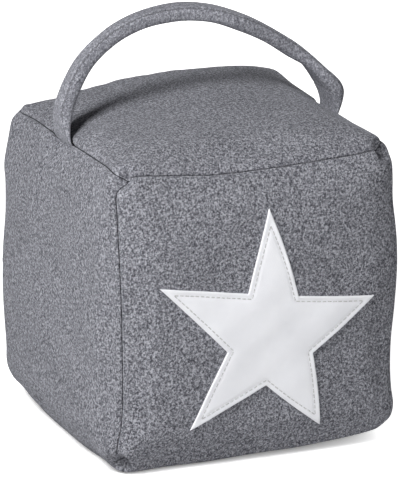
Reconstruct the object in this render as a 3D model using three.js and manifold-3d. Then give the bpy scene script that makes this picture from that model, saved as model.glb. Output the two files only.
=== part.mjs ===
// A weighted felt door stop: a soft cube of six sewn felt panels around a heavy filling, with a
// strap handle over the top and a star sewn on the front.
// Units are millimetres. +Z is up, +X is to the right and -Y is the front. The origin is the
// middle of the footprint, on the surface that the door stop stands on.
import * as THREE from "three";
import { mergeVertices } from "three/addons/utils/BufferGeometryUtils.js";
import Module from "manifold-3d";

// Cube, measured between its corner seams
const WIDTH = 150;
const DEPTH = 152;
const HEIGHT = 153;
const BASE_DROP = 4.5; // the middle of the base seams is about this far below the lower corners

// Where each seam runs: places along it as shares of its half length, from -1 at its lower, front or
// left end, and how far it stands out there towards the first face named and towards the second
const SEAMS = {
  "front left": [
    [-1, 0, 0],
    [-0.89, 2.6, 2.2],
    [-0.73, 4, 2.2],
    [-0.46, 4.8, 2.1],
    [-0.16, 5.1, 2.4],
    [0.13, 5.2, 2.8],
    [0.46, 5.2, 3.8],
    [0.72, 4.2, 4.1],
    [0.89, 2.2, 2.8],
    [1, 0, 0],
  ],
  "front right": [
    [-1, 0, 0],
    [-0.86, 2.4, 1.9],
    [-0.73, 2.8, 1.4],
    [-0.55, 2.8, 1],
    [-0.37, 2.9, 1.4],
    [-0.1, 4.2, 2.6],
    [0.21, 4.8, 3.3],
    [0.47, 4.2, 2.4],
    [0.65, 3.4, 1.2],
    [0.78, 2.2, 1.2],
    [1, 0, 0],
  ],
  "back left": [
    [-1, 0, 0],
    [-0.86, 2, 4.4],
    [-0.73, 2.8, 5.9],
    [-0.46, 4.3, 7.2],
    [-0.1, 5.4, 7.2],
    [0.25, 4.7, 5.6],
    [0.46, 4.3, 5.5],
    [0.6, 4.1, 5.7],
    [0.71, 3.3, 4.6],
    [0.81, 2.5, 3],
    [1, 0, 0],
  ],
  "back right": [
    [-1, 0, 0],
    [-0.78, 2.8, 4.2],
    [-0.39, 5.1, 7.5],
    [0, 5.6, 8.8],
    [0.39, 5.1, 7.6],
    [0.78, 2.8, 4],
    [1, 0, 0],
  ],
  "front top": [
    [-1, 0, 0],
    [-0.88, 2.4, 1.2],
    [-0.64, 4.1, 0.9],
    [-0.37, 4.5, -1.1],
    [-0.12, 4.5, -1.3],
    [0.27, 4.5, -0.7],
    [0.55, 4.2, 0.2],
    [0.83, 2.6, 0.3],
    [1, 0, 0],
  ],
  "back top": [
    [-1, 0, 0],
    [-0.8, 2, -1.2],
    [-0.53, 3.2, 1.3],
    [-0.2, 4, 3.8],
    [0.2, 4, 5.2],
    [0.51, 3.8, 5],
    [0.77, 2.6, 3.4],
    [1, 0, 0],
  ],
  "left top": [
    [-1, 0, 0],
    [-0.84, 0.6, 1.7],
    [-0.53, 1.2, 2.1],
    [-0.16, 1.5, 1.4],
    [0.2, 1.5, 0.4],
    [0.59, 1.2, 0],
    [0.84, 0.6, -0.6],
    [1, 0, 0],
  ],
  "right top": [
    [-1, 0, 0],
    [-0.79, 0.8, 1.4],
    [-0.39, 1.4, 0.6],
    [0.13, 1.5, 0.1],
    [0.59, 1.2, 0.6],
    [0.82, 0.8, 1],
    [1, 0, 0],
  ],
  "front base": [
    [-1, 0, 0],
    [-0.88, 1.4, 2.9],
    [-0.61, 2.6, 3.9],
    [0, 3, 4.1],
    [0.56, 2.7, 3.6],
    [0.8, 1.6, 2.7],
    [1, 0, 0],
  ],
  "back base": [
    [-1, 0, 0],
    [-0.67, 2, 3],
    [0, 3, 4.5],
    [0.67, 2, 3],
    [1, 0, 0],
  ],
  "left base": [
    [-1, 0, 0],
    [-0.84, 2.4, 3.2],
    [-0.59, 4, 4.6],
    [0, 4.6, 5.2],
    [0.66, 3.6, 3.6],
    [1, 0, 0],
  ],
  "right base": [
    [-1, 0, 0],
    [-0.66, 2, 3],
    [0, 3, 4.5],
    [0.66, 2, 3],
    [1, 0, 0],
  ],
};

// Corners, where three seams meet: the side each lies on, how far it is drawn in, and how far the
// felt beside it stands out
const CORNERS = [
  { at: [-1, -1, 1], pull: [3.2, 3, -2.4], ear: [-3.8, -3, 2.4] },
  { at: [1, -1, 1], pull: [-0.8, 2.8, -2.4], ear: [0.4, -1.6, 2] },
  { at: [-1, -1, -1], pull: [2.4, 2.4, 1.8], ear: [-3.8, -2.4, -3.2] },
  { at: [1, -1, -1], pull: [-1.2, 1.2, 1], ear: [0.8, -0.8, -0.4] },
  { at: [-1, 1, 1], pull: [1.6, -1.6, -1.8], ear: [-1.2, 0.8, -1.2] },
  { at: [1, 1, 1], pull: [-1.6, -1.6, -1.6], ear: [1, 1, 2.2] },
  { at: [-1, 1, -1], pull: [1.6, -1.6, 1.2], ear: [-2.4, 1, -2] },
  { at: [1, 1, -1], pull: [-1.6, -1.6, 1.2], ear: [1, 1, -1] },
];
const PULL_REACH = 2.6;
const EAR_REACH = 10;

// Shallow dents and swellings: the face, its place from -1 to 1 across and up, radius and height
const LUMPS = [
  ["top", 0.4, 0.53, 26, 0.8],
  ["top", -0.47, -0.53, 26, 0.6],
  ["front", -0.64, 0.68, 24, 0.9],
  ["front", 0.53, -0.68, 22, -0.8],
  ["front", -0.73, -0.52, 20, 0.6],
  ["left", 0.39, -0.65, 22, 0.9],
  ["left", -0.39, 0.26, 30, 0.5],
];

// Face shapes: the felt rolls up out of each seam, then swells towards the middle of the face
const ROLL_RISE = 3;
const ROLL_WIDTH = 4.5;
const FRONT_CROWN = 1.5;
const SIDE_CROWN = 0.5;
const TOP_CROWN = 8;
const BASE_SAG = 1.5; // more than enough to press the base flat on the floor
const FULLNESS = 0.6; // lower swells faster beside the seams
const BASE_FULLNESS = 0.55;
const BASE_ROLL = 0.62; // share of the roll that the base has at its middle
const BASE_ROLL_SLANT = 0.38; // it is this much more at the left and less at the right

// Felt, seams and the fit between neighbours
const FELT = 2;
const SEAM_ALLOWANCE = 8; // depth of the edge that is turned inside, square to each face
const CLEARANCE = 0.3;

// Handle: a folded strap, flattened at its ends and sewn into the seams at the sides of the top
const STRAP_RISE = 64; // middle of the strap at its highest, above the corner seams
const STRAP_Y = 5; // the strap lies a little behind the middle
const TAB_WIDTH = 24;
const TAB_THICKNESS = 1.6;
const TAB_SHORT = 2; // the tab ends this far before the turned edges do
const TAB_TAPER = 12; // length over which the strap thickens above the seam
const STRAP_SQUARENESS = 0.55; // 1 is an ellipse, lower is squarer
const ARCH_STATIONS = 30;
const STRAP_SIDES = 16;

// Star of leatherette, sewn on below the middle of the front
const STAR_THICKNESS = 1.3;
const STAR_RADIUS = 66;
const STAR_DROP = 10.7;

// Finish of each material
const FELT_GREY = { color: 0x7f8189, roughness: 1, metalness: 0 };
const STAR_WHITE = { color: 0xe6e7ec, roughness: 0.55, metalness: 0 };
const FILLING_SAND = { color: 0xb5a68c, roughness: 0.95, metalness: 0 };

const HALF = new THREE.Vector3(WIDTH / 2, DEPTH / 2, HEIGHT / 2);
const CORNER_LIFT = 9; // height of the lower corners above the floor
const CENTRE = new THREE.Vector3(0, 0, CORNER_LIFT + HEIGHT / 2);
const SEAM_INSET = CLEARANCE / Math.SQRT2; // each panel stops this far short of the shared seam
const FOLD = FELT / Math.SQRT2; // square offset of a felt thickness along the 45 degree fold
const BEND_INSET = FELT + 2 * FOLD + SEAM_INSET; // inner bend behind the seam
const TAB_DEPTH = SEAM_ALLOWANCE - TAB_SHORT;
const TAB_LENGTH = TAB_DEPTH * Math.SQRT2;
const GROOVE = SEAM_ALLOWANCE + FELT / 2 + CLEARANCE; // groove in the filling behind a turned edge
const FILLING_EDGE = 2 * SEAM_ALLOWANCE - FELT; // the filling leaves the panel here

const X = new THREE.Vector3(1, 0, 0);
const Y = new THREE.Vector3(0, 1, 0);
const Z = new THREE.Vector3(0, 0, 1);

// The back swells as far as the star on the front, so that the footprint's middle stays put
const BACK_CROWN = FRONT_CROWN + CLEARANCE + STAR_THICKNESS;
const BASE_CROWN = CORNER_LIFT - BASE_DROP + BASE_SAG;

// Each face has an outward normal, and two directions in its plane: across times up = normal
const FACES = {
  front: { normal: Y.clone().negate(), across: X, up: Z, crown: FRONT_CROWN },
  back: { normal: Y, across: X.clone().negate(), up: Z, crown: BACK_CROWN },
  left: { normal: X.clone().negate(), across: Y.clone().negate(), up: Z, crown: SIDE_CROWN },
  right: { normal: X, across: Y, up: Z, crown: SIDE_CROWN },
  top: { normal: Z, across: X, up: Y, crown: TOP_CROWN },
  base: { normal: Z.clone().negate(), across: X, up: Y.clone().negate(), crown: BASE_CROWN },
};

// The face whose normal points in a direction
function faceToward(direction) {
  return Object.keys(FACES).find((name) => FACES[name].normal.dot(direction) > 0.5);
}

// Half the cube's size along an axis direction
function halfAlong(direction) {
  return Math.abs(HALF.dot(direction));
}

// Lines of the mesh along one axis, as shares of the half size: close together where the felt
// rolls into the seam, then at the edge of the filling, then evenly over the middle
function meshLines(direction) {
  const half = halfAlong(direction);
  const beside = [0, 0.15, 0.45, 1].map((share) => 1 - (share * ROLL_WIDTH) / half);
  const edge = 1 - FILLING_EDGE / half;
  const positive = [...beside, edge, edge * 0.74, edge * 0.45, edge * 0.15];
  return [...positive.map((line) => -line), ...positive.reverse()];
}

// Those of the lines that the filling also uses
function fillingLines(direction) {
  return meshLines(direction).slice(4, -4);
}

// Smooth curves through the tables of the seams
const SEAM_CURVES = Object.fromEntries(
  Object.entries(SEAMS).map(([key, rows]) => {
    const places = rows.map(([place]) => place);
    const offsets = rows.flatMap(([, first, second]) => [first, second]);
    return [key, new THREE.CubicInterpolant(places, offsets, 2)];
  }),
);

// Offset of a seam from its straight line, at a place from -1 to 1 in the direction of along
function seamOffset(faceA, faceB, along, place) {
  const [first, second] = `${faceA} ${faceB}` in SEAMS ? [faceA, faceB] : [faceB, faceA];
  const curve = SEAM_CURVES[`${first} ${second}`];
  const [outFirst, outSecond] = curve.evaluate(place * (along.x + along.y + along.z));
  return new THREE.Vector3()
    .addScaledVector(FACES[first].normal, outFirst)
    .addScaledVector(FACES[second].normal, outSecond);
}

// How far a point of a face is moved by the corners near it
function cornerOffset(name, s, t) {
  const { normal, across, up } = FACES[name];
  const offset = new THREE.Vector3();
  for (const { at, pull, ear } of CORNERS) {
    const corner = new THREE.Vector3(...at);
    if (corner.dot(normal) < 0) continue;
    const farS = (1 - s * corner.dot(across)) * halfAlong(across);
    const farT = (1 - t * corner.dot(up)) * halfAlong(up);
    const far = farS ** 2 + farT ** 2;
    const near = Math.exp(-far / (2 * PULL_REACH ** 2));
    const wide = Math.exp(-far / (2 * EAR_REACH ** 2));
    offset.addScaledVector(new THREE.Vector3(...pull), near);
    offset.addScaledVector(new THREE.Vector3(...ear), wide - near);
  }
  return offset;
}

// Rise of the rolled edge, from 0 at the seam to 1 where the roll ends
function rollShare(place, half) {
  const share = Math.min(((1 - Math.abs(place)) * half) / ROLL_WIDTH, 1);
  return Math.sqrt(1 - (1 - share) ** 2);
}

// Height of the dents and swellings of a face at one of its points
function lumpHeight(name, s, t) {
  const { across, up } = FACES[name];
  return LUMPS.filter(([face]) => face === name).reduce((sum, [, x, y, radius, height]) => {
    const farS = (s - x) * halfAlong(across);
    const farT = (t - y) * halfAlong(up);
    return sum + height * Math.exp(-(farS ** 2 + farT ** 2) / (2 * radius ** 2));
  }, 0);
}

// A point of a face's outer surface: s across and t up, each from -1 to 1 between the seams
function surfacePoint(name, s, t) {
  const { normal, across, up, crown } = FACES[name];
  const point = CENTRE.clone()
    .addScaledVector(normal, halfAlong(normal))
    .addScaledVector(across, s * halfAlong(across))
    .addScaledVector(up, t * halfAlong(up));
  for (const side of [-1, 1]) {
    const beside = faceToward(across.clone().multiplyScalar(side));
    const over = faceToward(up.clone().multiplyScalar(side));
    point.addScaledVector(seamOffset(name, beside, up, t), (1 + side * s) / 2);
    point.addScaledVector(seamOffset(name, over, across, s), (1 + side * t) / 2);
  }
  point.add(cornerOffset(name, s, t));
  const edge = rollShare(s, halfAlong(across)) * rollShare(t, halfAlong(up));
  const rollSize = name === "base" ? BASE_ROLL - BASE_ROLL_SLANT * s : 1;
  const fullness = name === "base" ? BASE_FULLNESS : FULLNESS;
  const dome = Math.max((1 - s * s) * (1 - t * t), 0) ** fullness;
  const rise = ROLL_RISE * rollSize * edge + crown * dome + lumpHeight(name, s, t) * edge;
  return point.addScaledVector(normal, rise);
}

// Moves a point of a face inwards by a depth; the base is flat where it meets the floor
function atDepth(name, point, depth) {
  point.addScaledVector(FACES[name].normal, -depth);
  if (name === "base") point.z = Math.max(point.z, depth);
  return point;
}

// Moves a point of a face towards the face's middle, by up to an inset at the seams
function drawnIn(name, point, s, t, inset) {
  const { across, up } = FACES[name];
  return point.addScaledVector(across, -s * inset).addScaledVector(up, -t * inset);
}

function outerPoint(name, s, t, depth = 0) {
  return drawnIn(name, atDepth(name, surfacePoint(name, s, t), depth), s, t, SEAM_INSET);
}

function innerPoint(name, s, t, depth) {
  const { across, up } = FACES[name];
  const reachS = 1 - BEND_INSET / halfAlong(across);
  const reachT = 1 - BEND_INSET / halfAlong(up);
  return atDepth(name, surfacePoint(name, s * reachS, t * reachT), depth);
}

// End of the turned edge, on its outer or inner side
function foldEnd(name, s, t, fold) {
  const point = outerPoint(name, s, t);
  point.addScaledVector(FACES[name].normal, fold - SEAM_ALLOWANCE);
  return drawnIn(name, point, s, t, SEAM_ALLOWANCE + fold);
}

// Collects points and faces, then makes one closed mesh of them
class MeshBuilder {
  constructor() {
    this.positions = [];
  }

  triangle(a, b, c) {
    for (const point of [a, b, c]) this.positions.push(point.x, point.y, point.z);
  }

  quad(a, b, c, d) {
    this.triangle(a, b, c);
    this.triangle(a, c, d);
  }

  // A sheet from rows of points, seen from outside with its rows running up
  sheet(rows, flipped = false) {
    for (let i = 0; i + 1 < rows.length; i += 1) {
      for (let j = 0; j + 1 < rows[i].length; j += 1) {
        const [a, b, c, d] = [rows[i][j], rows[i + 1][j], rows[i + 1][j + 1], rows[i][j + 1]];
        if (flipped) this.quad(a, d, c, b);
        else this.quad(a, b, c, d);
      }
    }
  }

  // A band between two closed loops with the same number of points
  band(outer, inner) {
    outer.forEach((point, i) => {
      const next = (i + 1) % outer.length;
      this.quad(outer[next], point, inner[i], inner[next]);
    });
  }

  // A flat end over a closed loop, anticlockwise seen from outside
  cap(loop, flipped = false) {
    for (let i = 1; i + 1 < loop.length; i += 1) {
      if (flipped) this.triangle(loop[0], loop[i + 1], loop[i]);
      else this.triangle(loop[0], loop[i], loop[i + 1]);
    }
  }

  geometry() {
    const loose = new THREE.BufferGeometry();
    loose.setAttribute("position", new THREE.Float32BufferAttribute(this.positions, 3));
    return mergeVertices(loose, 1e-4);
  }
}

// Points of a face on its mesh lines, as rows from across -1 to 1
function gridOf(name, lines, pointAt) {
  const { across, up } = FACES[name];
  return lines(across).map((s) => lines(up).map((t) => pointAt(s, t)));
}

// The closed outline of a grid, anticlockwise seen from outside
function outlineOf(grid) {
  const last = grid.length - 1;
  const top = grid[0].length - 1;
  return [
    ...grid.slice(0, last).map((row) => row[0]),
    ...grid[last].slice(0, top),
    ...grid.slice(1).map((row) => row[top]).reverse(),
    ...grid[0].slice(1).reverse(),
  ];
}

// A felt panel: a crowned sheet whose rolled edges turn inside at 45 degrees along every seam
function panelGeometry(name) {
  const outer = gridOf(name, meshLines, (s, t) => outerPoint(name, s, t));
  const inner = gridOf(name, meshLines, (s, t) => innerPoint(name, s, t, FELT));
  const foldOuter = gridOf(name, meshLines, (s, t) => foldEnd(name, s, t, 0));
  const foldInner = gridOf(name, meshLines, (s, t) => foldEnd(name, s, t, FOLD));
  const mesh = new MeshBuilder();
  mesh.sheet(outer);
  mesh.band(outlineOf(outer), outlineOf(foldOuter));
  mesh.band(outlineOf(foldOuter), outlineOf(foldInner));
  mesh.band(outlineOf(foldInner), outlineOf(inner));
  mesh.sheet(inner, true);
  return mesh.geometry();
}

// A point of the filling's surface. At s or t of 1 it lies at the bottom of the groove that makes
// room for the turned edges behind that seam.
function fillingPoint(name, s, t) {
  if (Math.abs(s) < 1 && Math.abs(t) < 1) return innerPoint(name, s, t, FELT + CLEARANCE);
  const point = surfacePoint(name, s, t).addScaledVector(FACES[name].normal, -GROOVE);
  return drawnIn(name, point, s, t, GROOVE);
}

// The filling: it lies against every panel, with a groove behind each seam for the turned edges
function fillingGeometry() {
  const lines = (direction) => [-1, ...fillingLines(direction), 1];
  const mesh = new MeshBuilder();
  for (const name of Object.keys(FACES)) {
    mesh.sheet(gridOf(name, lines, (s, t) => fillingPoint(name, s, t)));
  }
  return mesh.geometry();
}

// The middle line of the strap seen from the front, how far across as a share of half the cube's
// width and how high as a share of the rise, with the strap's width and thickness there
const ARCH = [
  [-1.015, 0.266, 11.5, 8.3],
  [-0.991, 0.358, 11, 8.4],
  [-0.952, 0.467, 11, 8.4],
  [-0.881, 0.611, 10, 8.4],
  [-0.812, 0.706, 8.8, 8.3],
  [-0.716, 0.802, 8.4, 8.2],
  [-0.612, 0.88, 9, 8.4],
  [-0.487, 0.939, 9.8, 8.5],
  [-0.34, 0.978, 10.4, 8.5],
  [-0.144, 0.997, 12, 8.6],
  [-0.011, 0.984, 14, 8.8],
  [0.131, 0.947, 15.6, 9.2],
  [0.281, 0.88, 16.4, 9.5],
  [0.444, 0.791, 14.8, 8.9],
  [0.601, 0.678, 13, 8.5],
  [0.729, 0.573, 12.6, 8.4],
  [0.843, 0.473, 12.6, 6.6],
  [0.909, 0.383, 13.6, 6.6],
  [0.955, 0.3, 15, 7.6],
  [0.985, 0.223, 17, 8.2],
];

// The strap's stations: over the arch, with each end turned 45 degrees in between the two panels
// that it is sewn to
function strapStations() {
  const seams = [-1, 1].map((side) => surfacePoint("top", side, STRAP_Y / HALF.y));
  const tips = seams.map((seam, i) =>
    seam.clone().add(new THREE.Vector3(i === 0 ? TAB_DEPTH : -TAB_DEPTH, 0, -TAB_DEPTH)),
  );
  const tab = { wide: TAB_WIDTH, thick: TAB_THICKNESS };
  const arch = ARCH.map(([across, rise, wide, thick]) => {
    const z = CORNER_LIFT + HEIGHT + rise * STRAP_RISE;
    return { point: new THREE.Vector3(across * HALF.x, STRAP_Y, z), wide, thick };
  });
  const stations = [
    { point: tips[0], ...tab },
    { point: seams[0], ...tab },
    ...arch,
    { point: seams[1], ...tab },
    { point: tips[1], ...tab },
  ];
  for (const { point } of stations) point.y = STRAP_Y;
  return stations;
}

// The strap's path, and how wide and thick it is at a place along it
const strapLine = strapStations();
const strapCurve = new THREE.CatmullRomCurve3(
  strapLine.map(({ point }) => point),
  false,
  "centripetal",
);

function strapSizeAt(distance, length) {
  const place = strapCurve.getUtoTmapping(distance / length) * (strapLine.length - 1);
  const i = Math.min(Math.floor(place), strapLine.length - 2);
  const [before, after] = [strapLine[i], strapLine[i + 1]];
  return {
    wide: THREE.MathUtils.lerp(before.wide, after.wide, place - i),
    thick: THREE.MathUtils.lerp(before.thick, after.thick, place - i),
  };
}

// One section of the strap: a rounded oblong, wide along Y, thinned towards its sewn ends
function strapSection(centre, tangent, size, fromEnd, margin) {
  const { wide } = size;
  const taper = THREE.MathUtils.smoothstep(fromEnd, TAB_LENGTH, TAB_LENGTH + TAB_TAPER);
  const thick = THREE.MathUtils.lerp(TAB_THICKNESS, size.thick, taper);
  const outward = new THREE.Vector3().crossVectors(Y, tangent).normalize();
  const points = [];
  for (let side = 0; side < STRAP_SIDES; side += 1) {
    const angle = (2 * Math.PI * (side + 0.5)) / STRAP_SIDES;
    const across = Math.sign(Math.cos(angle)) * Math.abs(Math.cos(angle)) ** STRAP_SQUARENESS;
    const through = Math.sign(Math.sin(angle)) * Math.abs(Math.sin(angle)) ** STRAP_SQUARENESS;
    points.push(
      centre
        .clone()
        .addScaledVector(Y, across * (wide / 2 + margin))
        .addScaledVector(outward, through * (thick / 2 + margin)),
    );
  }
  return points;
}

// Distances along the strap at which it has a section: close together in the tabs and tapers
const END_DISTANCES = [
  0,
  TAB_LENGTH / 2,
  ...[0, 0.25, 0.5, 0.75, 1].map((share) => TAB_LENGTH + share * TAB_TAPER),
];
function strapDistances(length) {
  const start = TAB_LENGTH + 1.5 * TAB_TAPER;
  const arch = Array.from({ length: ARCH_STATIONS + 1 }, (_, i) =>
    THREE.MathUtils.lerp(start, length - start, i / ARCH_STATIONS),
  );
  const farEnd = END_DISTANCES.map((distance) => length - distance).reverse();
  return [...END_DISTANCES, ...arch, ...farEnd];
}

// A closed sweep through some of the strap's sections, from its first to its last
function strapGeometry(first, last, margin = 0) {
  const length = strapCurve.getLength();
  const sections = strapDistances(length).slice(first, last).map((distance) => {
    const tangent = strapCurve.getTangentAt(distance / length);
    const centre = strapCurve.getPointAt(distance / length);
    if (distance === 0) centre.addScaledVector(tangent, -margin);
    if (distance === length) centre.addScaledVector(tangent, margin);
    const fromEnd = Math.min(distance, length - distance);
    return strapSection(centre, tangent, strapSizeAt(distance, length), fromEnd, margin);
  });
  const mesh = new MeshBuilder();
  mesh.cap(sections[0]);
  for (let i = 0; i + 1 < sections.length; i += 1) mesh.band(sections[i], sections[i + 1]);
  mesh.cap(sections.at(-1), true);
  return mesh.geometry();
}

// The star's points and inner corners, hand cut: share of its radius, and degrees clockwise from up
const STAR_POINTS = [
  [1.013, 1.9],
  [0.385, 46.4],
  [0.971, 79.4],
  [0.48, 119.5],
  [1.008, 149.7],
  [0.464, 178.1],
  [0.989, 220.0],
  [0.355, 247.2],
  [1.018, 296.9],
  [0.369, 335.2],
];

// The star's outline seen from the front
function starShape() {
  const outline = STAR_POINTS.map(([share, degrees]) => {
    const angle = THREE.MathUtils.degToRad(degrees);
    const radius = share * STAR_RADIUS;
    return new THREE.Vector2(
      CENTRE.x + radius * Math.sin(angle),
      CENTRE.z - STAR_DROP + radius * Math.cos(angle),
    );
  });
  return new THREE.Shape(outline);
}

const wasm = await Module();
wasm.setup();

// A closed geometry as a solid, and a solid as a geometry
function solidFrom(geometry) {
  const bare = new THREE.BufferGeometry();
  bare.setAttribute("position", geometry.getAttribute("position"));
  bare.setIndex(geometry.index);
  const merged = mergeVertices(bare, 1e-4);
  return new wasm.Manifold(
    new wasm.Mesh({
      numProp: 3,
      vertProperties: merged.attributes.position.array,
      triVerts: new Uint32Array(merged.index.array),
    }),
  );
}

function geometryFrom(solid) {
  const { vertProperties, triVerts } = solid.getMesh();
  const geometry = new THREE.BufferGeometry();
  geometry.setAttribute("position", new THREE.BufferAttribute(vertProperties, 3));
  geometry.setIndex(new THREE.BufferAttribute(triVerts, 1));
  return geometry;
}

// A panel, cut clear of the strap ends that are sewn into its seams
function slottedPanelGeometry(name, cutters) {
  if (!cutters) return panelGeometry(name);
  let panel = solidFrom(panelGeometry(name));
  for (const cutter of cutters) panel = panel.subtract(cutter);
  return geometryFrom(panel);
}

// The star: its outline cut from a thin sheet that lies on the crowned front panel
function starGeometry() {
  const underside = gridOf("front", starLines, (s, t) => outerPoint("front", s, t, -CLEARANCE));
  const face = gridOf("front", starLines, (s, t) =>
    outerPoint("front", s, t, -CLEARANCE - STAR_THICKNESS),
  );
  const sheet = new MeshBuilder();
  sheet.sheet(face);
  sheet.band(outlineOf(face), outlineOf(underside));
  sheet.sheet(underside, true);
  const prism = new THREE.ExtrudeGeometry(starShape(), { depth: DEPTH, bevelEnabled: false });
  prism.deleteAttribute("normal");
  prism.deleteAttribute("uv");
  prism.rotateX(Math.PI / 2);
  return geometryFrom(solidFrom(sheet.geometry()).intersect(solidFrom(mergeVertices(prism))));
}

// Mesh lines of the front panel between its rolled edges
function starLines(direction) {
  return meshLines(direction).slice(3, -3);
}

// A named piece of the door stop in its material
function piece(name, geometry, finish) {
  geometry.computeVertexNormals();
  const mesh = new THREE.Mesh(geometry, new THREE.MeshStandardMaterial(finish));
  mesh.name = name;
  return mesh;
}

// The strap ends with clearance all round, as far up as they lie in the seams
const endSections = END_DISTANCES.length + 1;
const leftEnd = solidFrom(strapGeometry(0, endSections, CLEARANCE));
const rightEnd = solidFrom(strapGeometry(-endSections, undefined, CLEARANCE));
const sewnIn = { left: [leftEnd], right: [rightEnd], top: [leftEnd, rightEnd] };

const doorStop = new THREE.Group();
for (const name of Object.keys(FACES)) {
  doorStop.add(piece(`${name}_panel`, slottedPanelGeometry(name, sewnIn[name]), FELT_GREY));
}
doorStop.add(
  piece("weighted_filling", fillingGeometry(), FILLING_SAND),
  piece("carry_handle", strapGeometry(0), FELT_GREY),
  piece("star_applique", starGeometry(), STAR_WHITE),
);

export default doorStop;
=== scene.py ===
import math

import bpy
import numpy as np
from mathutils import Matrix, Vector
from mathutils.bvhtree import BVHTree
from mathutils.geometry import delaunay_2d_cdt


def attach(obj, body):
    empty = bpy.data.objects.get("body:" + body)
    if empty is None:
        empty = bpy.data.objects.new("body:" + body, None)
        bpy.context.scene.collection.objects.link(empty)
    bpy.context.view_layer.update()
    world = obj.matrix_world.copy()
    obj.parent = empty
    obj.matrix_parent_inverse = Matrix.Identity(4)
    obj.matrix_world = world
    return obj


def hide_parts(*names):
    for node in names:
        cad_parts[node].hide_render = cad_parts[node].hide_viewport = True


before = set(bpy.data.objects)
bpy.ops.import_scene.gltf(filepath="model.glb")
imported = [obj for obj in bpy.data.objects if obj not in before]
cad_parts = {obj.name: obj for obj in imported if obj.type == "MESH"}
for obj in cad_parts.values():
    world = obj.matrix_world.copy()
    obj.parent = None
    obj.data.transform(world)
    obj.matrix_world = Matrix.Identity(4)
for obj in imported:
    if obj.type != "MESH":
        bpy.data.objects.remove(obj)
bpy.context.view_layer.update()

# Shapes are worked out in millimetres and written to the meshes in metres
MM = 0.001

# Half the distances between opposite seams, and the middle of the cube
HALF = np.array([75.0, 76.0, 76.5])
CENTRE = np.array([0.0, 0.0, 85.5])

# Felt: its thickness, how deep its edges turn inside, and their distance from the seam's middle
FELT = 2.0
SEAM_DEPTH = 8.0
SEAM_INSET = 0.34

# Beside each seam the felt rolls up to its full height within this width
ROLL_RISE = 3.0
ROLL_WIDTH = 4.5

# Share of that height on the base: less towards the right, more within a reach of the front seam
BASE_ROLL = 0.62
BASE_ROLL_SLANT = 0.38
FRONT_ROLL = 0.5
FRONT_ROLL_SLANT = 0.3
FRONT_ROLL_REACH = 6.0

# Place of the handle from front to back, and the most that a seam opens for it
STRAP_Y = 5.0
STRAP_GAP = 1.25

# Each face has an outward normal, a direction across it and a direction up it
FACES = {
    "front": ((0, -1, 0), (1, 0, 0), (0, 0, 1)),
    "back": ((0, 1, 0), (-1, 0, 0), (0, 0, 1)),
    "left": ((-1, 0, 0), (0, -1, 0), (0, 0, 1)),
    "right": ((1, 0, 0), (0, 1, 0), (0, 0, 1)),
    "top": ((0, 0, 1), (1, 0, 0), (0, 1, 0)),
    "base": ((0, 0, -1), (1, 0, 0), (0, -1, 0)),
}

# How far the middle of each panel swells past its roll, and the power that flattens the swelling
CROWNS = {"front": 1.5, "back": 3.1, "left": 0.5, "right": 0.5, "top": 8.0, "base": 6.0}
FULLNESS = 0.6
BASE_FULLNESS = 0.55

# Seams: places along the edge in millimetres from its middle, in the direction of +X, +Y or +Z, and
# how far the seam stands out there towards the first face and towards the second
SEAMS = {
    ("front", "left"): [
        (-76.5, 0, 0), (-68, 2.6, 2.2), (-56, 4, 2.2), (-35, 4.8, 2.1), (-12, 5.1, 2.4),
        (10, 5.2, 2.8), (35, 5.2, 3.8), (55, 4.2, 4.1), (68, 2.2, 2.8), (76.5, 0, 0),
    ],
    ("front", "right"): [
        (-76.5, 0, 0), (-66, 2.4, 1.9), (-56, 2.8, 1.4), (-42, 2.8, 1), (-28, 2.9, 1.4),
        (-8, 4.2, 2.6), (16, 4.8, 3.3), (36, 4.2, 2.4), (50, 3.4, 1.2), (60, 2.2, 1.2), (76.5, 0, 0),
    ],
    ("back", "left"): [
        (-76.5, 0, 0), (-66, 2, 4.4), (-56, 2.8, 5.9), (-35, 4.3, 7.2), (-8, 5.4, 7.2),
        (19, 4.7, 5.6), (35, 4.3, 5.5), (46, 4.1, 5.7), (54, 3.3, 4.6), (62, 2.5, 3), (76.5, 0, 0),
    ],
    ("back", "right"): [
        (-76.5, 0, 0), (-60, 2.8, 4.2), (-30, 5.1, 7.5), (0, 5.6, 8.8), (30, 5.1, 7.6),
        (60, 2.8, 4), (76.5, 0, 0),
    ],
    ("front", "top"): [
        (-75, 0, 0), (-66, 2.4, 1.2), (-48, 4.1, 0.9), (-28, 4.5, -1.1), (-9, 4.5, -1.3),
        (20, 4.5, -0.7), (41, 4.2, 0.2), (62, 2.6, 0.3), (75, 0, 0),
    ],
    ("back", "top"): [
        (-75, 0, 0), (-60, 2, -1.2), (-40, 3.2, 1.3), (-15, 4, 3.8), (15, 4, 5.2), (38, 3.8, 5),
        (58, 2.6, 3.4), (75, 0, 0),
    ],
    ("left", "top"): [
        (-76, 0, 0), (-64, 0.6, 1.7), (-40, 1.2, 2.1), (-12, 1.5, 1.4), (15, 1.5, 0.4), (45, 1.2, 0),
        (64, 0.6, -0.6), (76, 0, 0),
    ],
    ("right", "top"): [
        (-76, 0, 0), (-60, 0.8, 1.4), (-30, 1.4, 0.6), (10, 1.5, 0.1), (45, 1.2, 0.6), (62, 0.8, 1),
        (76, 0, 0),
    ],
    ("front", "base"): [
        (-75, 0, 0), (-66, 1.4, 1.3), (-46, 2.6, 2.0), (0, 3, 2.3), (42, 2.7, 2.1), (60, 1.6, 1.6),
        (75, 0, 0),
    ],
    ("back", "base"): [(-75, 0, 0), (-50, 2, 3), (0, 3, 4.5), (50, 2, 3), (75, 0, 0)],
    ("left", "base"): [
        (-76, 0, 0), (-64, 2.4, 3.2), (-45, 4, 4.6), (0, 4.6, 5.2), (50, 3.6, 3.6), (76, 0, 0),
    ],
    ("right", "base"): [(-76, 0, 0), (-50, 2, 3), (0, 3, 4.5), (50, 2, 3), (76, 0, 0)],
}

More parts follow.
